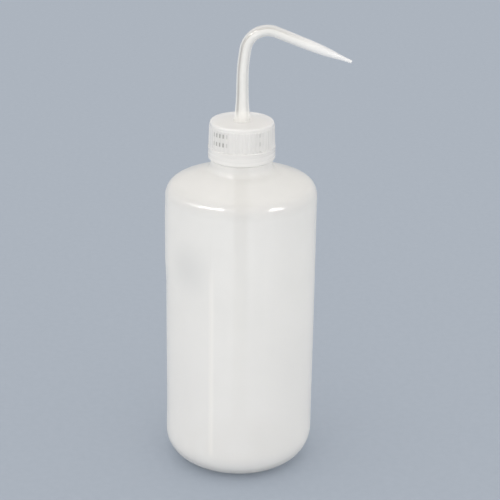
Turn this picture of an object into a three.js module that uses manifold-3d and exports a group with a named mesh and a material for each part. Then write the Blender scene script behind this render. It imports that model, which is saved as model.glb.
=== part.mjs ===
// Laboratory wash bottle, 500 ml class, in natural polythene with a polypropylene screw cap.
//
// Millimetres, +Z up. The origin is the centre of the bottle's resting face, on the axis of the bottle,
// and the spout points along +X. Four separate pieces: the blown bottle with its threaded neck, the ribbed
// screw cap, the bent spout with the plug that seals the mouth, and the draw tube that hangs from the plug.

import * as THREE from "three";
import { mergeVertices } from "three/addons/utils/BufferGeometryUtils.js";
import Module from "manifold-3d";

const wasm = await Module();
wasm.setup();

const DEGREE = Math.PI / 180;
const FULL_TURN = 2 * Math.PI;

// ---- driving dimensions, mm -------------------------------------------------------------------------

const GAP = 0.3; // left between pieces that touch in life

const BODY_FACETS = 48;
const TUBE_FACETS = 20;

const BODY_RADIUS = 36.5;
const BODY_WALL = 1.2;
const BASE_THICKNESS = 1.6;
const BASE_CORNER = { across: 13.6, up: 15 };
const BASE_RECESS = { inner: 8, outer: 17, depth: 0.8 };
const WALL_TOP = 138.2; // where the straight wall ends and the shoulder starts
const SHOULDER_CORNER = { across: 5.6, up: 6.9 };
const SHOULDER_SLOPE = 22 * DEGREE;

const NECK_RADIUS = 12.6;
const NECK_BORE = 11;
const NECK_BEAD = { radius: 14.8, top: 156.7 };
const NECK_FILLET = 3.5;
const NECK_BORE_FILLET = 4;
const MOUTH_HEIGHT = 171.4;
const EDGE = 0.4; // small broken edges on the mouldings

const THREAD_PITCH = 25.4 / 6; // six turns to the inch, the usual pitch of a 28 mm closure
const NECK_THREAD = { crest: 13.75, root: NECK_RADIUS, start: 158.5, startAngle: 0, turns: 2.5 };
const THREAD_WIDTH = { root: 2.1, crest: 1 };
const THREAD_STEPS_PER_TURN = 28;
const THREAD_RUNOUT = 25 * DEGREE;
const THREAD_EMBED = 0.4; // how far a ridge reaches into the wall that carries it

const CAP_BOTTOM = NECK_BEAD.top + 0.4;
const CAP_TOP = 175.6;
const CAP_PANEL = 2;
const CAP_FOOT_RADIUS = 16.05; // plain band at the cap's foot
const CAP_SKIRT = { foot: 15.55, head: 15.2 }; // wall between the ribs, with its moulding draft
const CAP_BORE = 14.2;
const CAP_BAND_TOP = 163.6;
const CAP_FOOT_CHAMFER = { across: 0.9, up: 1.1 };
const CAP_RINGS = { heights: [159.3, 161.4], depth: 0.25 };
const CAP_EDGE = 0.8;
// The cap's ridge runs half a pitch off the neck's ridge, so each is in the middle of the other's groove.
const CAP_THREAD = {
  crest: 13.2,
  root: CAP_BORE,
  start: NECK_THREAD.start + THREAD_PITCH / 2,
  startAngle: NECK_THREAD.startAngle,
  turns: 2.5,
};
const CAP_HOLE = 4;
const RIB_COUNT = 48;
const RIB_RADIUS = 0.55;
const RIB_STAND = 0.3; // how far a rib's crest stands proud of the skirt
const RIB_TOP = CAP_TOP - CAP_EDGE - 0.1; // just under the rounded edge

const FLANGE = { radius: 12.6, bottom: MOUTH_HEIGHT + GAP, top: CAP_TOP - CAP_PANEL - GAP };
const PLUG = { outer: NECK_BORE - GAP, inner: 9.5, length: 8, draft: 0.35, web: 1.1 };
const SPIGOT = { radius: 2.5, bottom: 154 };
const SPOUT_BORE = 1.6;
const SPOUT_ROOT = CAP_HOLE - GAP; // the stem where it passes through the cap

const STEM_TOP = 195.8; // the stem is straight up to here
// The stem widens towards its foot. Stations are [height, radius].
const STEM_RADIUS = 2.88;
const STEM_FOOT = [
  [FLANGE.top, SPOUT_ROOT],
  [CAP_TOP + 0.2, SPOUT_ROOT],
  [179, 3.5],
  [182, 3.3],
  [184.5, 3.12],
  [188, 3],
];
const BEND_THINNING = 0.25; // the tube is this much thinner in radius after its bends
const SPOUT_BENDS = [
  { radius: 85.4, turn: 9.8 * DEGREE, steps: 2 },
  { radius: 10.5, turn: 100.9 * DEGREE, steps: 13 },
];
const LIMB_LENGTH = 37.8;

const DRAW_TUBE = { outer: 3.5, inner: SPIGOT.radius + GAP, bottom: 6, top: 169.5 };

const NATURAL_POLYTHENE = { color: 0xe6e7e3, roughness: 0.42, metalness: 0 };
const NATURAL_POLYPROPYLENE = { color: 0xdfe0db, roughness: 0.3, metalness: 0 };
const SPOUT_POLYTHENE = { color: 0xeceded, roughness: 0.34, metalness: 0 };

// ---- geometry helpers ---------------------------------------------------------------------------------

/** Points of an elliptical arc, as [radius, height] pairs, both ends included. */
function arc(centre, across, up, from, to, steps) {
  return Array.from({ length: steps + 1 }, (_, i) => {
    const angle = from + ((to - from) * i) / steps;
    return [centre[0] + across * Math.cos(angle), centre[1] + up * Math.sin(angle)];
  });
}

/** Solid turned about Z from a profile of [radius, height] pairs, counter-clockwise with the axis on its left. */
function turned(profile, facets) {
  const points = profile.map(([radius, height]) => new THREE.Vector2(radius, height));
  return new THREE.LatheGeometry(points, facets).rotateX(Math.PI / 2);
}

/** The same for a ring, whose profile closes on itself. */
function turnedRing(profile, facets) {
  return turned([...profile, profile[0]], facets);
}

/** A closed mesh as a manifold solid, without the slivers that a lathe leaves on its axis. */
function toSolid(geometry) {
  const bare = geometry.clone();
  bare.deleteAttribute("normal");
  bare.deleteAttribute("uv");
  const merged = mergeVertices(bare, 1e-4);
  const index = merged.index.array;
  const triangles = [];
  for (let i = 0; i < index.length; i += 3) {
    const [a, b, c] = [index[i], index[i + 1], index[i + 2]];
    if (a !== b && b !== c && c !== a) {
      triangles.push(a, b, c);
    }
  }
  const vertProperties = new Float32Array(merged.attributes.position.array);
  const triVerts = new Uint32Array(triangles);
  return new wasm.Manifold(new wasm.Mesh({ numProp: 3, vertProperties, triVerts }));
}

/** A manifold solid back as geometry. */
function toGeometry(solid) {
  const mesh = solid.getMesh();
  const geometry = new THREE.BufferGeometry();
  geometry.setAttribute("position", new THREE.BufferAttribute(mesh.vertProperties, 3));
  geometry.setIndex(new THREE.BufferAttribute(mesh.triVerts, 1));
  geometry.computeVertexNormals();
  return geometry;
}

/**
 * One right-hand screw ridge: a long box wound up the helix. It narrows from its root to its crest and
 * runs out into the wall at both ends. A crest inside its root makes an internal thread.
 */
function screwRidge({ root, crest, start, startAngle, turns }) {
  const outward = Math.sign(crest - root);
  const buried = root - outward * THREAD_EMBED;
  const steps = Math.round(turns * THREAD_STEPS_PER_TURN);
  const ridge = new THREE.BoxGeometry(1, 1, 1, steps, 1, 1);
  const position = ridge.attributes.position;
  const winding = turns * FULL_TURN;
  for (let i = 0; i < position.count; i += 1) {
    const along = position.getX(i) + 0.5;
    const side = position.getY(i) * outward;
    const atCrest = position.getZ(i) > 0;
    const runout = Math.min(1, (Math.min(along, 1 - along) * winding) / THREAD_RUNOUT);
    const radius = atCrest ? buried + (crest - buried) * runout : buried;
    const width = atCrest ? THREAD_WIDTH.crest : THREAD_WIDTH.root + THREAD_EMBED;
    const angle = startAngle + along * winding;
    const height = start + along * turns * THREAD_PITCH + side * width;
    position.setXYZ(i, radius * Math.cos(angle), radius * Math.sin(angle), height);
  }
  return ridge;
}

function piece(name, geometry, finish) {
  const mesh = new THREE.Mesh(geometry, new THREE.MeshStandardMaterial(finish));
  mesh.name = name;
  return mesh;
}

// ---- bottle -------------------------------------------------------------------------------------------

/** Half outline of the body from the base corner to the foot of the neck, set in by a wall thickness. */
function bodyOutline(inset, baseInset, neckRadius, neckFillet) {
  const baseCentre = [BODY_RADIUS - BASE_CORNER.across, BASE_CORNER.up];
  const shoulderCentre = [BODY_RADIUS - SHOULDER_CORNER.across, WALL_TOP];
  const across = SHOULDER_CORNER.across - inset;
  const up = SHOULDER_CORNER.up - inset;
  const slope = Math.tan(SHOULDER_SLOPE);
  const shoulderEnd = Math.atan2(up, across * slope);
  const shoulder = arc(shoulderCentre, across, up, 0, shoulderEnd, 5);
  const [startRadius, startHeight] = shoulder[shoulder.length - 1];
  const filletRadius = neckRadius + neckFillet * (1 - Math.sin(SHOULDER_SLOPE));
  const filletHeight = startHeight + (startRadius - filletRadius) * slope;
  const filletCentre = [neckRadius + neckFillet, filletHeight + neckFillet * Math.cos(SHOULDER_SLOPE)];
  return [
    ...arc(baseCentre, BASE_CORNER.across - inset, BASE_CORNER.up - baseInset, -Math.PI / 2, 0, 7),
    ...shoulder,
    ...arc(filletCentre, neckFillet, neckFillet, -Math.PI / 2 - SHOULDER_SLOPE, -Math.PI, 4),
  ];
}

/** Underside of the base: flat, with a shallow ring-shaped recess that leaves a flat centre. */
const BASE_OUTLINE = [
  [0, 0],
  [BASE_RECESS.inner, 0],
  [BASE_RECESS.inner + BASE_RECESS.depth, BASE_RECESS.depth],
  [BASE_RECESS.outer, BASE_RECESS.depth],
  [BASE_RECESS.outer + BASE_RECESS.depth, 0],
];

/** Outside of the neck above its foot: the bead under the cap, the wall that carries the thread, the lip. */
const NECK_OUTLINE = [
  [NECK_BEAD.radius, NECK_BEAD.top - EDGE],
  [NECK_BEAD.radius - EDGE, NECK_BEAD.top],
  [NECK_RADIUS, NECK_BEAD.top],
  [NECK_RADIUS, MOUTH_HEIGHT - EDGE],
  [NECK_RADIUS - EDGE, MOUTH_HEIGHT],
  [NECK_BORE + EDGE, MOUTH_HEIGHT],
  [NECK_BORE, MOUTH_HEIGHT - EDGE],
];

function makeBottle() {
  const outside = bodyOutline(0, 0, NECK_BEAD.radius, NECK_FILLET);
  const inside = bodyOutline(BODY_WALL, BASE_THICKNESS, NECK_BORE, NECK_BORE_FILLET).reverse();
  const profile = [...BASE_OUTLINE, ...outside, ...NECK_OUTLINE, ...inside, [0, BASE_THICKNESS]];
  const thread = screwRidge(NECK_THREAD);
  return toGeometry(toSolid(turned(profile, BODY_FACETS)).add(toSolid(thread)));
}

// ---- screw cap ----------------------------------------------------------------------------------------

/** Outside of the plain band at the cap's foot, with shallow grooves running round it. */
function capBand() {
  const { heights, depth } = CAP_RINGS;
  const grooves = heights.flatMap((height) => [
    [CAP_FOOT_RADIUS, height - depth],
    [CAP_FOOT_RADIUS - depth, height],
    [CAP_FOOT_RADIUS, height + depth],
  ]);
  return [
    [CAP_FOOT_RADIUS - CAP_FOOT_CHAMFER.across, CAP_BOTTOM],
    [CAP_FOOT_RADIUS, CAP_BOTTOM + CAP_FOOT_CHAMFER.up],
    ...grooves,
    [CAP_FOOT_RADIUS, CAP_BAND_TOP - EDGE],
    [CAP_SKIRT.foot, CAP_BAND_TOP],
  ];
}

function makeCapShell() {
  const head = [CAP_SKIRT.head - CAP_EDGE, CAP_TOP - CAP_EDGE];
  return turnedRing(
    [
      [CAP_BORE + EDGE, CAP_BOTTOM],
      ...capBand(),
      ...arc(head, CAP_EDGE, CAP_EDGE, 0, Math.PI / 2, 3),
      [CAP_HOLE, CAP_TOP],
      [CAP_HOLE, CAP_TOP - CAP_PANEL],
      [CAP_BORE - EDGE, CAP_TOP - CAP_PANEL],
      [CAP_BORE, CAP_TOP - CAP_PANEL - EDGE],
      [CAP_BORE, CAP_BOTTOM + EDGE],
    ],
    BODY_FACETS,
  );
}

/** One finger rib: a round bar sunk in the skirt and leaning in with the skirt's draft. */
function makeRib(number) {
  const length = RIB_TOP - CAP_BAND_TOP + EDGE;
  const draft = Math.atan2(CAP_SKIRT.foot - CAP_SKIRT.head, CAP_TOP - CAP_BAND_TOP);
  const middle = (CAP_SKIRT.foot + CAP_SKIRT.head) / 2 + RIB_STAND - RIB_RADIUS;
  return new THREE.CylinderGeometry(RIB_RADIUS, RIB_RADIUS, length, 8)
    .rotateX(Math.PI / 2)
    .rotateY(-draft)
    .translate(middle, 0, RIB_TOP - length / 2)
    .rotateZ((number / RIB_COUNT) * FULL_TURN);
}

function makeScrewCap() {
  let cap = toSolid(makeCapShell()).add(toSolid(screwRidge(CAP_THREAD)));
  for (let number = 0; number < RIB_COUNT; number += 1) {
    cap = cap.add(toSolid(makeRib(number)));
  }
  return toGeometry(cap);
}

// ---- bent spout ---------------------------------------------------------------------------------------

const BEND_LENGTH = SPOUT_BENDS.reduce((sum, { radius, turn }) => sum + radius * turn, 0);
const SPOUT_TIP = STEM_TOP + BEND_LENGTH + LIMB_LENGTH;

/** Stations along the drawn part of the spout: [distance back from the tip, outer radius, bore radius]. */
const LIMB_TAPER = [
  [24, 2.5, SPOUT_BORE],
  [18, 2.38, 1.5],
  [11.2, 1.9, 1.1],
  [6.4, 1.28, 0.72],
  [2.5, 0.87, 0.48],
  [0, 0.72, 0.42],
];

/** Stations of the stem and its bends, as [length along the spout, outer radius]. */
function stemStations() {
  const stations = [...STEM_FOOT, [STEM_TOP, STEM_RADIUS]];
  let length = STEM_TOP;
  let radius = STEM_RADIUS;
  const thinning = BEND_THINNING / BEND_LENGTH;
  for (const bend of SPOUT_BENDS) {
    for (let step = 0; step < bend.steps; step += 1) {
      const advance = (bend.radius * bend.turn) / bend.steps;
      length += advance;
      radius -= thinning * advance;
      stations.push([length, radius]);
    }
  }
  return stations;
}

/** Centre of the spout at a length along it, and how far it leans over there. */
function spoutCentre(length) {
  let left = length - STEM_TOP;
  let lean = 0;
  let x = 0;
  let z = STEM_TOP;
  for (const { radius, turn } of SPOUT_BENDS) {
    const part = Math.min(left, radius * turn);
    const next = lean + part / radius;
    x += radius * (Math.cos(lean) - Math.cos(next));
    z += radius * (Math.sin(next) - Math.sin(lean));
    lean = next;
    left -= part;
  }
  return { x: x + left * Math.sin(lean), z: z + left * Math.cos(lean), lean };
}

/** The spout is moulded straight and then bent over towards +X above the stem. */
function bendOver(geometry) {
  const position = geometry.attributes.position;
  for (let i = 0; i < position.count; i += 1) {
    const length = position.getZ(i);
    if (length > STEM_TOP) {
      const { x, z, lean } = spoutCentre(length);
      const side = position.getX(i);
      position.setX(i, x + side * Math.cos(lean));
      position.setZ(i, z - side * Math.sin(lean));
    }
  }
  return geometry;
}

/** Spigot, hollow plug and sealing flange under the stem, from the bore's lower end outwards. */
const PLUG_OUTLINE = [
  [SPOUT_BORE, SPIGOT.bottom],
  [SPIGOT.radius - EDGE, SPIGOT.bottom],
  [SPIGOT.radius, SPIGOT.bottom + EDGE],
  [SPIGOT.radius, FLANGE.bottom - PLUG.web],
  [PLUG.inner, FLANGE.bottom - PLUG.web],
  [PLUG.inner - PLUG.draft, FLANGE.bottom - PLUG.length],
  [PLUG.outer - PLUG.draft, FLANGE.bottom - PLUG.length],
  [PLUG.outer, FLANGE.bottom - PLUG.web],
  [PLUG.outer, FLANGE.bottom],
  [FLANGE.radius, FLANGE.bottom],
  [FLANGE.radius, FLANGE.top],
];

function makeBentSpout() {
  const stem = stemStations();
  const limb = LIMB_TAPER.map(([back, outer]) => [SPOUT_TIP - back, outer]);
  const bore = LIMB_TAPER.map(([back, , inner]) => [SPOUT_TIP - back, inner]).reverse();
  const boreStem = stem
    .filter(([length]) => length >= STEM_TOP)
    .map(([length]) => [length, SPOUT_BORE])
    .reverse();
  const tube = [...stem, ...limb, ...bore, ...boreStem].map(([length, radius]) => [radius, length]);
  return bendOver(turnedRing([...PLUG_OUTLINE, ...tube], TUBE_FACETS));
}

// ---- draw tube ----------------------------------------------------------------------------------------

function makeDrawTube() {
  const { outer, inner, bottom, top } = DRAW_TUBE;
  return turnedRing(
    [
      [inner, bottom],
      [outer, bottom],
      [outer, top],
      [inner, top],
    ],
    TUBE_FACETS,
  );
}

// ---- the assembly -------------------------------------------------------------------------------------

const washBottle = new THREE.Group();
const closure = new THREE.Group(); // what lifts off the neck together when the cap is unscrewed

closure.add(
  piece("screw_cap", makeScrewCap(), NATURAL_POLYPROPYLENE),
  piece("bent_spout", makeBentSpout(), SPOUT_POLYTHENE),
  piece("draw_tube", makeDrawTube(), NATURAL_POLYTHENE),
);
washBottle.add(piece("bottle", makeBottle(), NATURAL_POLYTHENE), closure);

export default washBottle;
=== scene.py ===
"""Looks of a laboratory wash bottle of natural polythene, built around its CAD frame.

Metres, with +Z up and the spout pointing along +X.
"""

import math

import bpy
from mathutils import Matrix, Vector


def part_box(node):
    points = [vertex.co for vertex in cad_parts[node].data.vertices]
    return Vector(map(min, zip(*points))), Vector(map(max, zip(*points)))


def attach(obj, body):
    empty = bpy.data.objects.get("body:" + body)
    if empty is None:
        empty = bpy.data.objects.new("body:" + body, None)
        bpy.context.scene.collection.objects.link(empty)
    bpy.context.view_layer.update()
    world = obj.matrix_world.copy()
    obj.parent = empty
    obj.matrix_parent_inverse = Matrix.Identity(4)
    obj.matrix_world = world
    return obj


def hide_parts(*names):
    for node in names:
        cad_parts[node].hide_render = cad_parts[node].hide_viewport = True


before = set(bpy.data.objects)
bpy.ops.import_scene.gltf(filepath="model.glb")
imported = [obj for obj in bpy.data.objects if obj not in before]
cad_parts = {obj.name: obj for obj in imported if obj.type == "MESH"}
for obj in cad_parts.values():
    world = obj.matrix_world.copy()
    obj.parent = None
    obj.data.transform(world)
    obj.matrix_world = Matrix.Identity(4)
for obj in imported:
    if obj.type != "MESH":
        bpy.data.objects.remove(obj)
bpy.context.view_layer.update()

MM = 0.001
TURN = 2 * math.pi

# ---- sizes taken from the frame ------------------------------------------------------------------

BOTTLE_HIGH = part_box("bottle")[1]
CAP_LOW, CAP_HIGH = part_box("screw_cap")
SPOUT_LOW, SPOUT_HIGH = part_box("bent_spout")
TUBE_LOW, TUBE_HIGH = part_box("draw_tube")

BODY_RADIUS = BOTTLE_HIGH.x
MOUTH = BOTTLE_HIGH.z
CAP_RADIUS = CAP_HIGH.x
CAP_FOOT = CAP_LOW.z
CAP_TOP = CAP_HIGH.z
SPIGOT_FOOT = SPOUT_LOW.z
FLANGE_RADIUS = SPOUT_HIGH.y
TUBE_RADIUS = TUBE_HIGH.x

# ---- sizes of the mouldings ----------------------------------------------------------------------

BODY_WALL = 1.2 * MM
BASE_THICKNESS = 1.6 * MM
BASE_CORNER = (13.6 * MM, 15 * MM)
BASE_RECESS = (8 * MM, 17 * MM)
BASE_RECESS_DEPTH = 0.8 * MM
WALL_TOP = MOUTH - 33.2 * MM
SHOULDER_CORNER = (5.6 * MM, 6.9 * MM)
SHOULDER_SLOPE = math.radians(22)
SEAM_ANGLE = math.radians(68.6)
SEAM_HEIGHT = 0.03 * MM
SEAM_WIDTH = 0.5 * MM

NECK_RADIUS = 12.6 * MM
NECK_BORE = 11 * MM
BEAD_RADIUS = 14.8 * MM
BEAD_TOP = MOUTH - 14.55 * MM
NECK_FILLET = 3.5 * MM
NECK_BORE_FILLET = 4 * MM
BEAD_EDGE = 0.35 * MM
LIP_EDGE = 0.45 * MM

THREAD_PITCH = 25.4 * MM / 6
THREAD_TURNS = 2.5
THREAD_ROOT = 2.3 * MM
THREAD_CREST = 0.9 * MM
THREAD_RUNOUT = math.radians(25)
NECK_THREAD_FOOT = MOUTH - 12.9 * MM
NECK_THREAD_RADIUS = 13.75 * MM
CAP_THREAD_FOOT = NECK_THREAD_FOOT + THREAD_PITCH / 2
CAP_THREAD_RADIUS = 13.2 * MM

CAP_BORE = 14.2 * MM
CAP_PANEL = 2 * MM
CAP_HOLE = 3.8 * MM
CAP_EDGE = 1.1 * MM
CAP_FOOT_CHAMFER = (0.9 * MM, 1.1 * MM)
BAND_EDGE = 0.35 * MM
CAP_HOLE_EDGE = 0.1 * MM
SKIRT_FOOT = CAP_RADIUS - 0.42 * MM
SKIRT_HEAD = CAP_RADIUS - 0.77 * MM
BAND_TOP = CAP_FOOT + 6.5 * MM
RIB_TOP = CAP_TOP - 1.7 * MM
RIB_COUNT = 48
RIB_HEIGHT = 0.22 * MM
RIB_NOSE = 0.45 * MM
RIB_ROOT = 0.5 * MM
RIB_NARROWING = 1.2
RING_GROOVES = (CAP_FOOT + 2.2 * MM, CAP_FOOT + 4.3 * MM)
RING_DEPTH = 0.1 * MM
RING_WIDTH = 0.3 * MM

FLANGE_FOOT = MOUTH + 0.3 * MM
FLANGE_TOP = CAP_TOP - CAP_PANEL - 0.1 * MM
PLUG_RADIUS = 10.7 * MM
PLUG_INNER = 9.5 * MM
PLUG_DRAFT = 0.35 * MM
PLUG_LENGTH = 8 * MM
PLUG_WEB = 1.1 * MM
SPIGOT_RADIUS = 2.5 * MM
SPOUT_BORE = 1.6 * MM
STEM_ROOT = 3.7 * MM
STEM_TOP = SPOUT_HIGH.z - 25.9 * MM
SPOUT_BENDS = ((85.4 * MM, math.radians(9.8)), (10.5 * MM, math.radians(101.4)))
LIMB = 37.8 * MM

TUBE_BORE = 2.8 * MM

# surfaces are told apart by less than this
HAIR = 0.01 * MM

# edges bent more than this are creased
CREASE = math.radians(50)


# ---- mesh building -------------------------------------------------------------------------------


def arc(centre, across, up, start, stop, steps):
    """Points of an elliptical arc as (radius, height) pairs, both ends included."""
    angles = [start + (stop - start) * i / steps for i in range(steps + 1)]
    return [(centre[0] + across * math.cos(a), centre[1] + up * math.sin(a)) for a in angles]


def stretch(start, stop, steps):
    """Points on the straight from start to stop, without start itself."""
    fractions = [i / steps for i in range(1, steps + 1)]
    return [tuple(a + (b - a) * f for a, b in zip(start, stop)) for f in fractions]


def ease(value):
    """A smooth step from 0 to 1."""
    t = min(1, max(0, value))
    return t * t * (3 - 2 * t)


def bell(value):
    """A soft hump, 1 at 0 and fading to nothing by about 2 on either side."""
    return math.exp(-(value**2))


def smooth_curve(knots, at):
    """Value at one place of a smooth curve through knots: (place, value) pairs in rising order."""
    if at <= knots[0][0]:
        return knots[0][1]
    if at >= knots[-1][0]:
        return knots[-1][1]
    slopes = [(b[1] - a[1]) / (b[0] - a[0]) for a, b in zip(knots, knots[1:])]
    tangents = [slopes[0]]
    for before, after in zip(slopes, slopes[1:]):
        tangents.append(0 if before * after <= 0 else 2 * before * after / (before + after))
    tangents.append(slopes[-1])
    i = max(k for k in range(len(knots) - 1) if knots[k][0] <= at)
    (x0, y0), (x1, y1) = knots[i], knots[i + 1]
    width = x1 - x0
    t = (at - x0) / width
    return (
        (1 + 2 * t) * (1 - t) ** 2 * y0
        + t * (1 - t) ** 2 * width * tangents[i]
        + t * t * (3 - 2 * t) * y1
        + t * t * (t - 1) * width * tangents[i + 1]
    )


def mesh_object(name, vertices, faces):
    mesh = bpy.data.meshes.new(name)
    mesh.from_pydata(vertices, [], faces)
    mesh.validate()
    mesh.shade_smooth()
    mesh.set_sharp_from_angle(angle=CREASE)
    obj = bpy.data.objects.new(name, mesh)
    bpy.context.scene.collection.objects.link(obj)
    return obj


def revolve(name, profile, angles, shape, closed):
    """A skin turned about Z.

    profile is (radius, height) pairs, counter-clockwise with the axis on its left.
    shape(radius, height, angle) gives each point its place.
    An open profile starts and ends on the axis.
    """
    vertices, rows = [], []
    for radius, height in profile:
        if radius == 0:
            rows.append([len(vertices)] * len(angles))
            vertices.append((0, 0, height))
            continue
        rows.append(range(len(vertices), len(vertices) + len(angles)))
        vertices += [shape(radius, height, angle) for angle in angles]
    pairs = list(zip(rows, rows[1:]))
    if closed:
        pairs.append((rows[-1], rows[0]))
    faces = []
    for low, high in pairs:
        for i in range(len(angles)):
            j = (i + 1) % len(angles)
            corners = (low[i], low[j], high[j], high[i])
            faces.append(tuple(dict.fromkeys(corners)))
    return mesh_object(name, vertices, faces)


def polar(radius, height, angle):
    return (radius * math.cos(angle), radius * math.sin(angle), height)


def even_angles(count):
    return [TURN * i / count for i in range(count)]


def thread_lift(angle, height, foot):
    """How far a screw ridge stands here: 0 beside it, 1 on its crest, less near either end."""
    best = 0
    for turn in range(math.ceil(THREAD_TURNS)):
        wound = angle % TURN + turn * TURN
        if wound > THREAD_TURNS * TURN:
            break
        off = abs(height - foot - THREAD_PITCH * wound / TURN)
        flank = (THREAD_ROOT / 2 - off) / ((THREAD_ROOT - THREAD_CREST) / 2)
        ends = min(wound, THREAD_TURNS * TURN - wound) / THREAD_RUNOUT
        best = max(best, ease(flank) * ease(ends))
    return best


# ---- bottle --------------------------------------------------------------------------------------

# shallow waves in the blown wall: depth, waves round the bottle, radians per metre of height
WALL_WAVES = ((0.04 * MM, 3, 22), (0.03 * MM, 2, -61))

# how far the wall stands proud above and below its step on one side, and the heights it spans
WALL_STEP_ABOVE = 0.25 * MM
WALL_STEP_BELOW = -0.2 * MM
WALL_STEP = (94 * MM, 106 * MM)
WALL_FADE = 12 * MM

# how much higher half the shoulder stands, and how far one side of the base corner swells out
SHOULDER_RISE = 0.28 * MM
CORNER_SWELL = 0.4 * MM

# places across the parting line where the skin has vertices, in mm
SEAM_STEPS = (-1.1, -0.75, -0.45, -0.22, 0, 0.22, 0.45, 0.75, 1.1)

# the parting line's pinch across the recess in the base
PINCH_HEIGHT = 0.3 * MM
PINCH_WIDTH = 0.6 * MM


def body_outline(inset, base_inset, neck_radius, fillet):
    """Half outline from the base corner to the foot of the neck, set in by a wall thickness."""
    base_centre = (BODY_RADIUS - BASE_CORNER[0], BASE_CORNER[1])
    shoulder_centre = (BODY_RADIUS - SHOULDER_CORNER[0], WALL_TOP)
    across, up = SHOULDER_CORNER[0] - inset, SHOULDER_CORNER[1] - inset
    slope = math.tan(SHOULDER_SLOPE)
    shoulder = arc(shoulder_centre, across, up, 0, math.atan2(up, across * slope), 14)
    end = shoulder[-1]
    fillet_radius = neck_radius + fillet * (1 - math.sin(SHOULDER_SLOPE))
    fillet_height = end[1] + (end[0] - fillet_radius) * slope
    fillet_centre = (neck_radius + fillet, fillet_height + fillet * math.cos(SHOULDER_SLOPE))
    base_corner = (BASE_CORNER[0] - inset, BASE_CORNER[1] - base_inset)
    base = arc(base_centre, *base_corner, -math.pi / 2, 0, 20)
    return (
        base
        + stretch(base[-1], shoulder[0], 44)
        + shoulder[1:]
        + stretch(end, (fillet_radius, fillet_height), 8)
        + arc(fillet_centre, fillet, fillet, -math.pi / 2 - SHOULDER_SLOPE, -math.pi, 8)[1:]
    )


def bottle_profile():
    inner_edge, outer_edge = BASE_RECESS
    slope, lead, dip = 0.9 * MM, 0.2 * MM, 0.05 * MM
    underside = [
        (0, 0),
        (3 * MM, 0),
        (inner_edge - lead, 0),
        (inner_edge, dip),
        (inner_edge + slope, BASE_RECESS_DEPTH - dip),
        (inner_edge + slope + lead, BASE_RECESS_DEPTH),
        (outer_edge - lead, BASE_RECESS_DEPTH),
        (outer_edge, BASE_RECESS_DEPTH - dip),
        (outer_edge + slope, dip),
        (outer_edge + slope + lead, 0),
    ]
    outside = body_outline(0, 0, BEAD_RADIUS, NECK_FILLET)
    bead_centre = (BEAD_RADIUS - BEAD_EDGE, BEAD_TOP - BEAD_EDGE)
    bead = arc(bead_centre, BEAD_EDGE, BEAD_EDGE, 0, math.pi / 2, 4)
    neck_foot = (NECK_RADIUS, BEAD_TOP)
    lip_foot = MOUTH - LIP_EDGE
    thread = stretch(neck_foot, (NECK_RADIUS, lip_foot - dip), 84)
    lip_out = arc((NECK_RADIUS - LIP_EDGE, lip_foot), LIP_EDGE, LIP_EDGE, 0, math.pi / 2, 4)
    lip_in = arc((NECK_BORE + LIP_EDGE, lip_foot), LIP_EDGE, LIP_EDGE, math.pi / 2, math.pi, 4)
    inside = body_outline(BODY_WALL, BASE_THICKNESS, NECK_BORE, NECK_BORE_FILLET)[::-1]
    bore = stretch(lip_in[-1], inside[0], 6)[:-1]
    floor = [(12 * MM, BASE_THICKNESS), (4 * MM, BASE_THICKNESS), (0, BASE_THICKNESS)]
    neck = bead + [neck_foot] + thread + lip_out + lip_in + bore
    return underside + outside + neck + inside + floor


def seam_distance(radius, angle):
    """Distance from the mould's parting plane, which holds the bottle's axis."""
    return abs(radius * math.sin(angle - SEAM_ANGLE))


def wall_drift(angle, height):
    """The blown wall wanders a little: shallow waves, and a step on one side."""
    waves = sum(depth * math.sin(n * angle + up * height) for depth, n, up in WALL_WAVES)
    below = ease((WALL_STEP[1] - height) / (WALL_STEP[1] - WALL_STEP[0]))
    step = WALL_STEP_ABOVE + (WALL_STEP_BELOW - WALL_STEP_ABOVE) * below
    return waves + step * ease(-math.cos(angle))


def shoulder_rise(radius, height, angle):
    """The shoulder slumped a little less on the side away from the wall's step."""
    past_bead = ease((radius - BEAD_RADIUS - 0.5 * MM) / (4 * MM))
    above_wall = ease((height - WALL_TOP) / (5 * MM))
    return SHOULDER_RISE * (1 + math.cos(angle)) * (past_bead * above_wall)


def corner_swell(height, angle):
    """One side of the base corner was blown out fuller than the rest."""
    in_corner = ease(height / (5 * MM)) * ease((BASE_CORNER[1] - height) / (6 * MM))
    return CORNER_SWELL * ease(-math.cos(angle)) * in_corner


def shape_bottle(radius, height, angle):
    outer_wall = radius > BODY_RADIUS - HAIR
    inner_wall = abs(radius - BODY_RADIUS + BODY_WALL) < HAIR
    if outer_wall or inner_wall:
        fade = ease((height - BASE_CORNER[1]) / WALL_FADE) * ease((WALL_TOP - height) / WALL_FADE)
        radius += wall_drift(angle, height) * fade
    elif radius > BEAD_RADIUS + 0.5 * MM:
        height += shoulder_rise(radius, height, angle)
        if height < BASE_CORNER[1] and radius > BASE_RECESS[1] + 6 * MM:
            radius += corner_swell(height, angle)
    off_seam = seam_distance(radius, angle)
    if outer_wall:
        radius += SEAM_HEIGHT * bell(off_seam / SEAM_WIDTH)
    if abs(height - BASE_RECESS_DEPTH) < HAIR:
        height -= PINCH_HEIGHT * bell(off_seam / PINCH_WIDTH)
    on_neck = abs(radius - NECK_RADIUS) < HAIR and height > BEAD_TOP
    if on_neck:
        radius += (NECK_THREAD_RADIUS - NECK_RADIUS) * thread_lift(angle, height, NECK_THREAD_FOOT)
    return polar(radius, height, angle)


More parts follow.
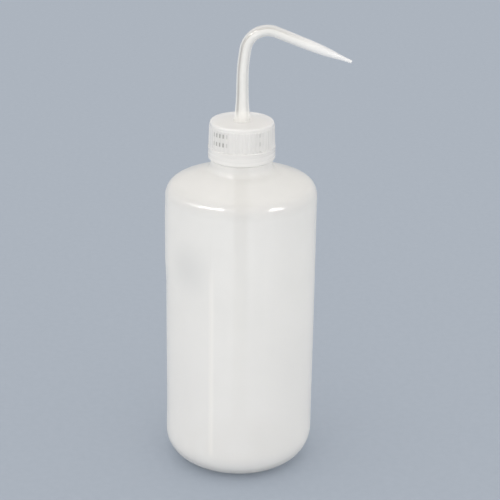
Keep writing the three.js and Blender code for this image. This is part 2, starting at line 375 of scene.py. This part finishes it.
def seam_angles(count):
    """Even steps round the bottle, with finer ones where the parting line runs up it."""
    fine = [offset * MM / BODY_RADIUS for offset in SEAM_STEPS]
    reach = BODY_RADIUS * math.sin(fine[-1])
    angles = [a for a in even_angles(count) if seam_distance(BODY_RADIUS, a) > reach]
    for centre in (SEAM_ANGLE, SEAM_ANGLE + math.pi):
        angles += [(centre + offset) % TURN for offset in fine]
    return sorted(angles)


def make_bottle():
    return revolve("bottle_body", bottle_profile(), seam_angles(168), shape_bottle, closed=False)


# ---- screw cap -----------------------------------------------------------------------------------


def skirt_radius(height):
    """The skirt between its ribs leans in by its moulding draft."""
    return SKIRT_FOOT + (SKIRT_HEAD - SKIRT_FOOT) * (height - BAND_TOP) / (CAP_TOP - BAND_TOP)


def groove_depth(height):
    return sum(RING_DEPTH * bell((height - at) / RING_WIDTH) for at in RING_GROOVES)


def cap_profile():
    across, up = CAP_FOOT_CHAMFER
    foot = [(CAP_BORE + BAND_EDGE, CAP_FOOT), (CAP_RADIUS - across, CAP_FOOT)]
    chamfer = arc((CAP_RADIUS - across, CAP_FOOT + up), across, up, -math.pi / 2, 0, 7)[1:]
    band_edge = (CAP_RADIUS, BAND_TOP - BAND_EDGE)
    band = stretch(chamfer[-1], band_edge, 30)
    step = arc((CAP_RADIUS - BAND_EDGE, band_edge[1]), BAND_EDGE, BAND_EDGE, 0, math.pi / 2, 5)[1:]
    skirt_low = BAND_TOP + 0.05 * MM
    skirt_start = (skirt_radius(skirt_low), skirt_low)
    edge_centre = (SKIRT_HEAD - CAP_EDGE, CAP_TOP - CAP_EDGE)
    edge = arc(edge_centre, CAP_EDGE, CAP_EDGE, 0, math.pi / 2, 9)
    rib_end = (skirt_radius(RIB_TOP - MM), RIB_TOP - MM)
    skirt = [skirt_start] + stretch(skirt_start, rib_end, 22) + stretch(rib_end, edge[0], 20)
    hole_edge_centre = (CAP_HOLE + CAP_HOLE_EDGE, CAP_TOP - CAP_HOLE_EDGE)
    top = stretch(edge[-1], (hole_edge_centre[0], CAP_TOP), 5)
    hole_edge = arc(hole_edge_centre, CAP_HOLE_EDGE, CAP_HOLE_EDGE, math.pi / 2, math.pi, 3)[1:]
    panel = CAP_TOP - CAP_PANEL
    corner_radius = 0.5 * MM
    corner_centre = (CAP_BORE - corner_radius, panel - corner_radius)
    under = [(CAP_HOLE, panel), (corner_centre[0], panel)]
    corner = arc(corner_centre, corner_radius, corner_radius, math.pi / 2, 0, 4)[1:]
    bore = stretch(corner[-1], (CAP_BORE, CAP_FOOT + BAND_EDGE), 92)
    outside = foot + chamfer + band + step + skirt[:-1] + edge + top
    return outside + hole_edge + under + corner + bore


def rib_lift(angle, height):
    """How far a finger rib stands here: round-backed bars that end in round noses."""
    across = 0.5 + 0.5 * math.cos(RIB_COUNT * angle)
    nose = ease((RIB_TOP - height) / RIB_NOSE)
    root = ease((height - BAND_TOP + RIB_ROOT) / RIB_ROOT)
    return across**RIB_NARROWING * (nose * root)


def shape_cap(radius, height, angle):
    if radius > SKIRT_HEAD - HAIR and BAND_TOP < height < RIB_TOP:
        radius += RIB_HEIGHT * rib_lift(angle, height)
    elif radius > CAP_RADIUS - HAIR:
        radius -= groove_depth(height)
    elif abs(radius - CAP_BORE) < HAIR:
        radius -= (CAP_BORE - CAP_THREAD_RADIUS) * thread_lift(angle, height, CAP_THREAD_FOOT)
    return polar(radius, height, angle)


def make_cap():
    return revolve("cap_shell", cap_profile(), even_angles(RIB_COUNT * 8), shape_cap, closed=True)


# ---- bent spout ----------------------------------------------------------------------------------

BEND_LENGTH = sum(radius * turn for radius, turn in SPOUT_BENDS)
SPOUT_TIP = STEM_TOP + BEND_LENGTH + LIMB
COLLAR_FOOT = CAP_TOP + 0.04 * MM
TUBE_SIDES = 40

# (length along the spout, radius) of the stem and of the drawn limb
SPOUT_TAPER = (
    (COLLAR_FOOT, 4.15 * MM),
    (CAP_TOP + 0.3 * MM, 3.85 * MM),
    (CAP_TOP + 1 * MM, 3.68 * MM),
    (CAP_TOP + 3.4 * MM, 3.5 * MM),
    (CAP_TOP + 6.4 * MM, 3.3 * MM),
    (CAP_TOP + 8.9 * MM, 3.12 * MM),
    (CAP_TOP + 12.4 * MM, 3 * MM),
    (STEM_TOP, 2.86 * MM),
    (STEM_TOP + 14.7 * MM, 2.74 * MM),
    (STEM_TOP + BEND_LENGTH, 2.63 * MM),
    (SPOUT_TIP - 24 * MM, 2.5 * MM),
    (SPOUT_TIP - 18 * MM, 2.37 * MM),
    (SPOUT_TIP - 11.2 * MM, 1.9 * MM),
    (SPOUT_TIP - 6.4 * MM, 1.3 * MM),
    (SPOUT_TIP - 2.5 * MM, 0.9 * MM),
    (SPOUT_TIP, 0.76 * MM),
)
BORE_TAPER = (
    (SPOUT_TIP - 24 * MM, SPOUT_BORE),
    (SPOUT_TIP - 11.2 * MM, 1.1 * MM),
    (SPOUT_TIP - 2.5 * MM, 0.48 * MM),
    (SPOUT_TIP, 0.42 * MM),
)

# painted shade lines standing in for the bore's edges seen through the wall: name, angle either
# side of the inside of the bend, and strength
BORE_SHADE_LINES = (
    ("outer_bore_shade", math.radians(131), 0.85),
    ("inner_bore_shade", math.radians(46), 0.3),
)


def spout_centre(length):
    """Centre of the spout at a length along it, and how far it leans over there."""
    left, lean, x, z = length - STEM_TOP, 0, 0, STEM_TOP
    for radius, turn in SPOUT_BENDS:
        part = min(left, radius * turn)
        after = lean + part / radius
        x += radius * (math.cos(lean) - math.cos(after))
        z += radius * (math.sin(after) - math.sin(lean))
        lean = after
        left -= part
    return x + left * math.sin(lean), z + left * math.cos(lean), lean


def shape_spout(radius, height, angle):
    side, depth = radius * math.cos(angle), radius * math.sin(angle)
    if height <= STEM_TOP:
        return (side, depth, height)
    x, z, lean = spout_centre(height)
    return (x + side * math.cos(lean), depth, z - side * math.sin(lean))


def plug_profile():
    web = FLANGE_FOOT - PLUG_WEB
    foot = FLANGE_FOOT - PLUG_LENGTH
    inner_foot, outer_foot = PLUG_INNER - PLUG_DRAFT, PLUG_RADIUS - PLUG_DRAFT
    nose = (outer_foot - inner_foot) / 2
    rim, root, lead = 0.3 * MM, 0.4 * MM, (0.35 * MM, 0.5 * MM)
    fillet = 0.2 * MM
    return (
        [(SPOUT_BORE, SPIGOT_FOOT), (SPIGOT_RADIUS - lead[0], SPIGOT_FOOT)]
        + [(SPIGOT_RADIUS, SPIGOT_FOOT + lead[1]), (SPIGOT_RADIUS, web - root)]
        + [(SPIGOT_RADIUS + root, web), (PLUG_INNER - root, web), (PLUG_INNER, web - root)]
        + arc((inner_foot + nose, foot + nose), nose, nose, -math.pi, 0, 8)
        + [(PLUG_RADIUS, web), (PLUG_RADIUS, FLANGE_FOOT), (FLANGE_RADIUS - rim, FLANGE_FOOT)]
        + arc((FLANGE_RADIUS - rim, FLANGE_FOOT + rim), rim, rim, -math.pi / 2, 0, 3)[1:]
        + arc((FLANGE_RADIUS - rim, FLANGE_TOP - rim), rim, rim, 0, math.pi / 2, 3)
        + [(STEM_ROOT + fillet, FLANGE_TOP), (STEM_ROOT, FLANGE_TOP + fillet)]
        + [(STEM_ROOT, CAP_TOP)]
    )


def spout_profile():
    steps = 190
    collar_head = CAP_TOP + MM
    lengths = [COLLAR_FOOT + rise * MM for rise in (0, 0.13, 0.26, 0.6)]
    lengths += [collar_head + (SPOUT_TIP - collar_head) * i / steps for i in range(steps + 1)]
    outside = [(smooth_curve(SPOUT_TAPER, at), at) for at in lengths[:-1]]
    tip_radius = SPOUT_TAPER[-1][1]
    rim = 0.12 * MM
    tip = arc((tip_radius - rim, SPOUT_TIP - rim), rim, rim, 0, math.pi / 2, 3)
    bore = [(smooth_curve(BORE_TAPER, at), at) for at in lengths[::-2]]
    return plug_profile() + outside + tip + bore


def make_spout():
    angles = even_angles(TUBE_SIDES)
    spout = revolve("spout_tube", spout_profile(), angles, shape_spout, closed=True)
    # marks where the bore's painted shade lines go
    for name, centre, _strength in BORE_SHADE_LINES:
        toward = [max(math.cos(angle - centre), math.cos(angle + centre)) for angle in angles]
        attribute = spout.data.attributes.new(name, "FLOAT", "POINT")
        attribute.data.foreach_set("value", toward * (len(attribute.data) // len(toward)))
    return spout


# ---- draw tube -----------------------------------------------------------------------------------


def make_draw_tube():
    low, high = TUBE_LOW.z, TUBE_HIGH.z
    rim = 0.12 * MM
    outside = arc((TUBE_RADIUS - rim, low + rim), rim, rim, -math.pi / 2, 0, 2)
    outside += stretch(outside[-1], (TUBE_RADIUS, high - rim), 40)
    outside += arc((TUBE_RADIUS - rim, high - rim), rim, rim, 0, math.pi / 2, 2)[1:]
    inside = arc((TUBE_BORE + rim, high - rim), rim, rim, math.pi / 2, math.pi, 2)
    inside += stretch(inside[-1], (TUBE_BORE, low + rim), 40)
    inside += arc((TUBE_BORE + rim, low + rim), rim, rim, math.pi, 1.5 * math.pi, 2)[1:]
    return revolve("dip_tube", outside + inside, even_angles(TUBE_SIDES), polar, closed=True)


# ---- materials -----------------------------------------------------------------------------------

# painted shade of a shallow dent in the wall: greyer around this point
DENT_SHADE_CENTRE = (-24.4 * MM, -27 * MM, 110 * MM)
DENT_SHADE_REACH = 17 * MM

# heights over which tones, painted shade and light, and wear come or go, from the first to the
# second
LOWER_WALL_SHADE = (WALL_TOP - 30 * MM, 2 * BASE_CORNER[1])
CORNER_SHADE_FOOT = (WALL_TOP - MM, WALL_TOP + 3 * MM)
CORNER_SHADE_HEAD = (WALL_TOP + 8 * MM, WALL_TOP + 5 * MM)
SEAM_HIGHLIGHT_FOOT = (12 * MM, 17 * MM)
SEAM_HIGHLIGHT_HEAD = (120 * MM, 100 * MM)
SCUFFED = (50 * MM, 2 * MM)
CAP_TOP_LIGHT_SPAN = (CAP_TOP - 1.6 * MM, CAP_TOP - 0.1 * MM)
SKIRT_LOW = (BAND_TOP, BAND_TOP + MM)
SKIRT_HIGH = (RIB_TOP + 0.5 * MM, RIB_TOP - 1.5 * MM)
STEM_CLEARS = (CAP_TOP + MM, CAP_TOP + 6 * MM)
TUBE_SHADE_SPAN = (85 * MM, 125 * MM)

# distances out from the stem over which the bore's painted shade lines fade, and over which the
# limb turns whiter
BORE_SHADE_FADE = (2 * MM, 38 * MM)
DRAWN_LIMB = (18 * MM, 48 * MM)

# angles either side of X where the shade of the cap's screw is painted: centre, half width, half
# width with its fade, and strength
THREAD_SHADE_WINDOWS = (
    (math.radians(132), math.radians(11), math.radians(19), 0.7),
    (math.radians(56), math.radians(3), math.radians(9), 0.25),
)
THREAD_SHADE_FOOT = CAP_THREAD_FOOT - 0.4 * MM

# base colours; a pair is the two ends of a clouded one
WALL_TONES = ((0.93, 0.92, 0.895), (0.96, 0.95, 0.925))
STREAK_TONE = (0.965, 0.955, 0.935)
# painted shade: the wall darkens towards the bottom
LOWER_WALL_SHADE_TONE = (0.935, 0.925, 0.905)
# painted shade in a band on the shoulder corner
CORNER_SHADE_TONE = (0.87, 0.86, 0.84)
# painted shade of the dent
DENT_SHADE_TONE = (0.86, 0.855, 0.84)
# painted highlight along the parting line
SEAM_HIGHLIGHT_TONE = (1, 0.985, 0.95)
CAP_TONES = ((0.92, 0.91, 0.89), (0.945, 0.935, 0.915))
# painted shade of the cap's screw ridges seen through the skirt
THREAD_SHADE_TONE = (0.26, 0.27, 0.24)
# painted light: the cap's top is whiter
CAP_TOP_LIGHT_TONE = (1, 0.995, 0.985)
SPOUT_TONES = ((0.945, 0.94, 0.91), (0.975, 0.965, 0.935))
# painted shade lines along the bore's edges
BORE_SHADE_TONE = (0.55, 0.52, 0.48)
DRAWN_TONE = (1, 0.995, 0.985)
TUBE_TONES = ((0.93, 0.935, 0.925), (0.96, 0.965, 0.955))
# painted shade: the tube darkens towards its head
TUBE_HEAD_SHADE_TONE = (0.7, 0.7, 0.68)
FLOOR_TONES = ((0.44, 0.495, 0.572), (0.451, 0.506, 0.583))


class Nodes:
    """Short names for the shader nodes that these plastics are made of."""

    def __init__(self, name):
        self.material = bpy.data.materials.new(name)
        self.material.use_nodes = True
        self.tree = self.material.node_tree
        self.tree.nodes.clear()
        self.output = self.tree.nodes.new("ShaderNodeOutputMaterial")
        self.place = self.tree.nodes.new("ShaderNodeTexCoord").outputs["Object"]

    def link(self, source, socket):
        self.tree.links.new(source, socket)

    def principled(self, **values):
        shader = self.tree.nodes.new("ShaderNodeBsdfPrincipled")
        for label, value in values.items():
            shader.inputs[label.replace("_", " ")].default_value = value
        self.link(shader.outputs[0], self.output.inputs["Surface"])
        return shader

    def stretched(self, x, y, z):
        node = self.tree.nodes.new("ShaderNodeMapping")
        node.inputs["Scale"].default_value = (x, y, z)
        self.link(self.place, node.inputs["Vector"])
        return node.outputs["Vector"]

    def noise(self, scale, detail=2, roughness=0.5, place=None):
        node = self.tree.nodes.new("ShaderNodeTexNoise")
        node.inputs["Scale"].default_value = scale
        node.inputs["Detail"].default_value = detail
        node.inputs["Roughness"].default_value = roughness
        self.link(place or self.place, node.inputs["Vector"])
        return node.outputs["Fac"]

    def axis(self, label):
        """One coordinate of the place being shaded, in metres."""
        split = self.tree.nodes.new("ShaderNodeSeparateXYZ")
        self.link(self.place, split.inputs[0])
        return split.outputs[label]

    def height_between(self, span):
        """0 at the first height of the span and before it, 1 at the second and past it."""
        return self.remap(self.axis("Z"), *span)

    def attribute(self, name):
        node = self.tree.nodes.new("ShaderNodeAttribute")
        node.attribute_name = name
        return node.outputs["Fac"]

    def near_angle(self, around, centre, inner, outer):
        """1 within one angle of a direction either side of X, and 0 beyond another. Radians."""
        off = self.math("SUBTRACT", self.math("ABSOLUTE", around), centre)
        return self.remap(self.math("ABSOLUTE", off), inner, outer, 1, 0)

    def off_seam(self):
        """Distance from the bottle's parting plane."""
        along = self.product(self.axis("X"), math.sin(SEAM_ANGLE))
        across = self.product(self.axis("Y"), math.cos(SEAM_ANGLE))
        return self.math("ABSOLUTE", self.math("SUBTRACT", along, across))

    def near_point(self, centre, reach):
        """1 at a point, fading to 0 at a distance from it."""
        node = self.tree.nodes.new("ShaderNodeVectorMath")
        node.operation = "DISTANCE"
        self.link(self.place, node.inputs[0])
        node.inputs[1].default_value = centre
        return self.remap(node.outputs["Value"], 0, reach, 1, 0)

    def remap(self, source, low, high, to_low=0, to_high=1):
        node = self.tree.nodes.new("ShaderNodeMapRange")
        node.interpolation_type = "SMOOTHSTEP"
        labels = ("From Min", "From Max", "To Min", "To Max")
        for label, value in zip(labels, (low, high, to_low, to_high)):
            node.inputs[label].default_value = value
        self.link(source, node.inputs["Value"])
        return node.outputs["Result"]

    def math(self, operation, first, second=0):
        node = self.tree.nodes.new("ShaderNodeMath")
        node.operation = operation
        for socket, value in zip(node.inputs, (first, second)):
            if isinstance(value, (int, float)):
                socket.default_value = value
            else:
                self.link(value, socket)
        return node.outputs[0]

    def product(self, first, *others):
        for other in others:
            first = self.math("MULTIPLY", first, other)
        return first

    def mix(self, factor, first, second):
        node = self.tree.nodes.new("ShaderNodeMix")
        node.data_type = "RGBA"
        self.link(factor, node.inputs["Factor"])
        sockets = [s for s in node.inputs if s.type == "RGBA"]
        for socket, value in zip(sockets, (first, second)):
            if isinstance(value, tuple):
                socket.default_value = (*value, 1)
            else:
                self.link(value, socket)
        return [s for s in node.outputs if s.type == "RGBA"][0]

    def bump(self, height, distance, strength, before=None):
        node = self.tree.nodes.new("ShaderNodeBump")
        node.inputs["Distance"].default_value = distance
        node.inputs["Strength"].default_value = strength
        self.link(height, node.inputs["Height"])
        if before is not None:
            self.link(before, node.inputs["Normal"])
        return node.outputs["Normal"]


def bottle_plastic():
    nodes = Nodes("natural_polythene_wall")
    shader = nodes.principled(
        IOR=1.51, Specular_IOR_Level=0, Alpha=0.5, Coat_Weight=0.32, Coat_Roughness=0.045
    )
    clouds = nodes.noise(28, detail=3)
    streaks = nodes.noise(160, place=nodes.stretched(1, 1, 0.02))
    tone = nodes.mix(nodes.remap(clouds, 0.35, 0.65), *WALL_TONES)
    tone = nodes.mix(nodes.remap(streaks, 0.45, 0.75, 0, 0.35), tone, STREAK_TONE)
    # painted shade, darker towards the bottom
    tone = nodes.mix(nodes.height_between(LOWER_WALL_SHADE), tone, LOWER_WALL_SHADE_TONE)
    # painted shade in a band on the shoulder corner
    corner = nodes.product(nodes.height_between(CORNER_SHADE_FOOT), nodes.height_between(CORNER_SHADE_HEAD))
    tone = nodes.mix(corner, tone, CORNER_SHADE_TONE)
    # painted shade of a shallow dent
    tone = nodes.mix(nodes.near_point(DENT_SHADE_CENTRE, DENT_SHADE_REACH), tone, DENT_SHADE_TONE)
    # painted highlight: a lighter streak along the raised parting line, fading out near base and
    # shoulder
    seam_highlight = nodes.product(
        nodes.remap(nodes.off_seam(), 0.3 * MM, 2 * MM, 0.9, 0),
        nodes.height_between(SEAM_HIGHLIGHT_HEAD),
        nodes.height_between(SEAM_HIGHLIGHT_FOOT),
    )
    tone = nodes.mix(seam_highlight, tone, SEAM_HIGHLIGHT_TONE)
    nodes.link(tone, shader.inputs["Base Color"])
    scuffs = nodes.noise(420, detail=4, roughness=0.7, place=nodes.stretched(1, 1, 0.25))
    worn = nodes.product(nodes.remap(scuffs, 0.56, 0.66, 0, 0.16), nodes.height_between(SCUFFED))
    rough = nodes.math("ADD", nodes.remap(clouds, 0.3, 0.7, 0.46, 0.56), worn)
    nodes.link(rough, shader.inputs["Roughness"])
    orange_peel = nodes.bump(nodes.noise(620), 0.06 * MM, 0.35)
    nodes.link(nodes.bump(streaks, 0.12 * MM, 0.35, orange_peel), shader.inputs["Normal"])
    return nodes.material


def painted_screw_shade(nodes):
    """Painted shade of the screw: dark dashes between the ribs, in windows either side of X."""
    around = nodes.math("ARCTAN2", nodes.axis("Y"), nodes.axis("X"))
    ribs = nodes.math("COSINE", nodes.product(around, RIB_COUNT))
    above = nodes.math("SUBTRACT", nodes.axis("Z"), THREAD_SHADE_FOOT)
    climb = nodes.product(above, TURN / THREAD_PITCH)
    screw = nodes.math("COSINE", nodes.math("SUBTRACT", climb, around))
    shade_dashes = nodes.product(nodes.remap(ribs, 0.2, -0.6), nodes.remap(screw, -0.3, 0.5))
    windows = [
        nodes.product(nodes.near_angle(around, centre, inner, outer), strength)
        for centre, inner, outer, strength in THREAD_SHADE_WINDOWS
    ]
    on_skirt = nodes.product(nodes.height_between(SKIRT_LOW), nodes.height_between(SKIRT_HIGH))
    return nodes.product(shade_dashes, nodes.math("ADD", *windows), on_skirt)


def cap_plastic():
    nodes = Nodes("natural_polypropylene_cap")
    shader = nodes.principled(
        IOR=1.49,
        Specular_IOR_Level=0,
        Alpha=0.6,
        Coat_Weight=0.8,
        Coat_Roughness=0.07,
    )
    clouds = nodes.noise(60, detail=3)
    tone = nodes.mix(nodes.remap(clouds, 0.35, 0.65), *CAP_TONES)
    # painted shade: dark dashes where the screw ridges would show through the skirt
    tone = nodes.mix(painted_screw_shade(nodes), tone, THREAD_SHADE_TONE)
    # painted light on the cap's top panel and rounded edge
    tone = nodes.mix(nodes.height_between(CAP_TOP_LIGHT_SPAN), tone, CAP_TOP_LIGHT_TONE)
    nodes.link(tone, shader.inputs["Base Color"])
    marks = nodes.noise(900, detail=3, roughness=0.65)
    nodes.link(nodes.remap(marks, 0.4, 0.75, 0.3, 0.44), shader.inputs["Roughness"])
    nodes.link(nodes.bump(nodes.noise(1500), 0.03 * MM, 0.3), shader.inputs["Normal"])
    return nodes.material


def spout_plastic():
    nodes = Nodes("drawn_polythene_spout")
    shader = nodes.principled(
        IOR=1.51,
        Specular_IOR_Level=0,
        Alpha=0.5,
        Coat_Weight=0.4,
        Coat_Roughness=0.1,
    )
    drawn = nodes.remap(nodes.axis("X"), *DRAWN_LIMB)
    limb = nodes.remap(nodes.axis("X"), *BORE_SHADE_FADE)
    shade_lines_show = nodes.math("SUBTRACT", nodes.height_between(STEM_CLEARS), limb)
    clouds = nodes.noise(90, detail=3)
    tone = nodes.mix(nodes.remap(clouds, 0.35, 0.65), *SPOUT_TONES)
    # painted shade lines along the bore's edges
    for name, _centre, strength in BORE_SHADE_LINES:
        line = nodes.remap(nodes.attribute(name), 0.955, 0.992, 0, strength)
        tone = nodes.mix(nodes.product(line, shade_lines_show), tone, BORE_SHADE_TONE)
    tone = nodes.mix(drawn, tone, DRAWN_TONE)
    nodes.link(tone, shader.inputs["Base Color"])
    marks = nodes.noise(700, detail=3, roughness=0.65)
    nodes.link(nodes.remap(marks, 0.4, 0.75, 0.34, 0.48), shader.inputs["Roughness"])
    nodes.link(nodes.bump(nodes.noise(1100), 0.03 * MM, 0.3), shader.inputs["Normal"])
    return nodes.material


def tube_plastic():
    nodes = Nodes("extruded_polythene_tube")
    shader = nodes.principled(IOR=1.51, Alpha=0.5, Coat_Weight=0.3, Coat_Roughness=0.2)
    lines = nodes.noise(900, place=nodes.stretched(1, 1, 0.01))
    tone = nodes.mix(nodes.remap(lines, 0.3, 0.7), *TUBE_TONES)
    # painted shade, darker from 85 mm up towards the tube's head
    tone = nodes.mix(nodes.height_between(TUBE_SHADE_SPAN), tone, TUBE_HEAD_SHADE_TONE)
    nodes.link(tone, shader.inputs["Base Color"])
    nodes.link(nodes.remap(lines, 0.3, 0.7, 0.45, 0.55), shader.inputs["Roughness"])
    nodes.link(nodes.bump(lines, 0.04 * MM, 0.4), shader.inputs["Normal"])
    return nodes.material


def floor_paint():
    nodes = Nodes("pale_floor")
    shader = nodes.principled(Roughness=0.9, Specular_IOR_Level=0)
    grain = nodes.noise(260, detail=3)
    tone = nodes.mix(nodes.remap(grain, 0.3, 0.7), *FLOOR_TONES)
    nodes.link(tone, shader.inputs["Base Color"])
    return nodes.material


# ---- studio --------------------------------------------------------------------------------------

AIM = Vector((4.6 * MM, 0, 109.6 * MM))
CAMERA_ELEVATION = math.radians(22)
CAMERA_ROLL = math.radians(0.8)
CAMERA_DISTANCE = 0.7774
FOCAL_LENGTH_MM = 114.8
SENSOR_WIDTH_MM = 36

TENT_COLOUR = (1, 0.982, 0.962)
TENT_STRENGTH = 0.93
LAMP_COLOUR = (1, 0.982, 0.96)
FLOOR_HALF = 6

# name, one end and the other (side and elevation in degrees), distance, depth, watts, gleam
LAMPS = (
    ("left_fill", (-38, 6), (-72, 6), 1.5, 0.9, 8, False),
    ("right_fill", (23, 6), (57, 6), 1.5, 0.9, 7.2, False),
    ("left_strip", (-31, 48), (-76, 36), 1.1, 0.22, 36, True),
    ("left_tail", (-76, 36), (-98, 30), 1.1, 0.22, 4, True),
    ("right_strip", (48, 36), (72, 23), 1.1, 0.22, 26, True),
)


def place_camera():
    forward = Vector((0, math.cos(CAMERA_ELEVATION), -math.sin(CAMERA_ELEVATION)))
    level_up = Vector((0, math.sin(CAMERA_ELEVATION), math.cos(CAMERA_ELEVATION)))
    across = Vector((1, 0, 0))
    right = across * math.cos(CAMERA_ROLL) + level_up * math.sin(CAMERA_ROLL)
    up = level_up * math.cos(CAMERA_ROLL) - across * math.sin(CAMERA_ROLL)
    data = bpy.data.cameras.new("camera")
    data.sensor_width = SENSOR_WIDTH_MM
    data.lens = FOCAL_LENGTH_MM
    camera = bpy.data.objects.new("camera", data)
    turn = Matrix((right, up, -forward)).transposed().to_4x4()
    camera.matrix_world = Matrix.Translation(AIM - forward * CAMERA_DISTANCE) @ turn
    bpy.context.scene.collection.objects.link(camera)
    bpy.context.scene.camera = camera


def direction(side, elevation):
    """Which way a lamp lies from the bottle; side is its angle from the front, + to the right."""
    around, up = math.radians(side), math.radians(elevation)
    return Vector((math.sin(around) * math.cos(up), -math.cos(around) * math.cos(up), math.sin(up)))


def hang_lamp(lit, name, near, far, distance, depth, power, gleam):
    """A rectangular lamp aimed at the bottle, that spans two directions.

    lit is the collection that says what it lights. A gleam lamp is seen only as a reflection;
    any other only lights, and is not reflected.
    """
    start, end = direction(*near) * distance, direction(*far) * distance
    away = (start + end).normalized()
    along = (end - start).normalized()
    data = bpy.data.lights.new(name, "AREA")
    data.shape = "RECTANGLE"
    data.size, data.size_y = (end - start).length, depth
    data.energy = power
    data.color = LAMP_COLOUR
    lamp = bpy.data.objects.new(name, data)
    turn = Matrix((along, away.cross(along), away)).transposed().to_4x4()
    lamp.matrix_world = Matrix.Translation(AIM + (start + end) / 2) @ turn
    lamp.visible_diffuse = not gleam
    lamp.visible_glossy = gleam
    lamp.light_linking.receiver_collection = lit
    bpy.context.scene.collection.objects.link(lamp)


def make_floor():
    corners = [(x * FLOOR_HALF, y * FLOOR_HALF, 0) for x, y in ((-1, -1), (1, -1), (1, 1), (-1, 1))]
    floor = mesh_object("floor", corners, [(0, 1, 2, 3)])
    floor.data.materials.append(floor_paint())
    return floor


def light_studio(floor):
    """A white tent, two low soft lamps in front for the upright wall, and strips for the gleams.

    The lamps light everything but the floor, where the low ones would leave a glare.
    """
    world = bpy.data.worlds.new("studio")
    world.use_nodes = True
    background = world.node_tree.nodes["Background"]
    background.inputs["Color"].default_value = (*TENT_COLOUR, 1)
    background.inputs["Strength"].default_value = TENT_STRENGTH
    bpy.context.scene.world = world
    bpy.context.scene.view_settings.view_transform = "Standard"
    lit = bpy.data.collections.new("lit_by_lamps")
    lit.objects.link(floor)
    lit.collection_objects[0].light_linking.link_state = "EXCLUDE"
    for lamp in LAMPS:
        hang_lamp(lit, *lamp)


# ---- assembly ------------------------------------------------------------------------------------

PIECES = (
    # maker, CAD node, body, material, record slot
    (make_bottle, "bottle", "bottle", bottle_plastic, "bottle_plastic"),
    (make_cap, "screw_cap", "cap", cap_plastic, "cap_plastic"),
    (make_spout, "bent_spout", "spout", spout_plastic, "spout_plastic"),
    (make_draw_tube, "draw_tube", "draw_tube", tube_plastic, "tube_plastic"),
)

place_camera()
light_studio(make_floor())
for make, node, body, plastic, slot in PIECES:
    made = make()
    made.data.materials.append(plastic())
    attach(made, body)
    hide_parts(node)
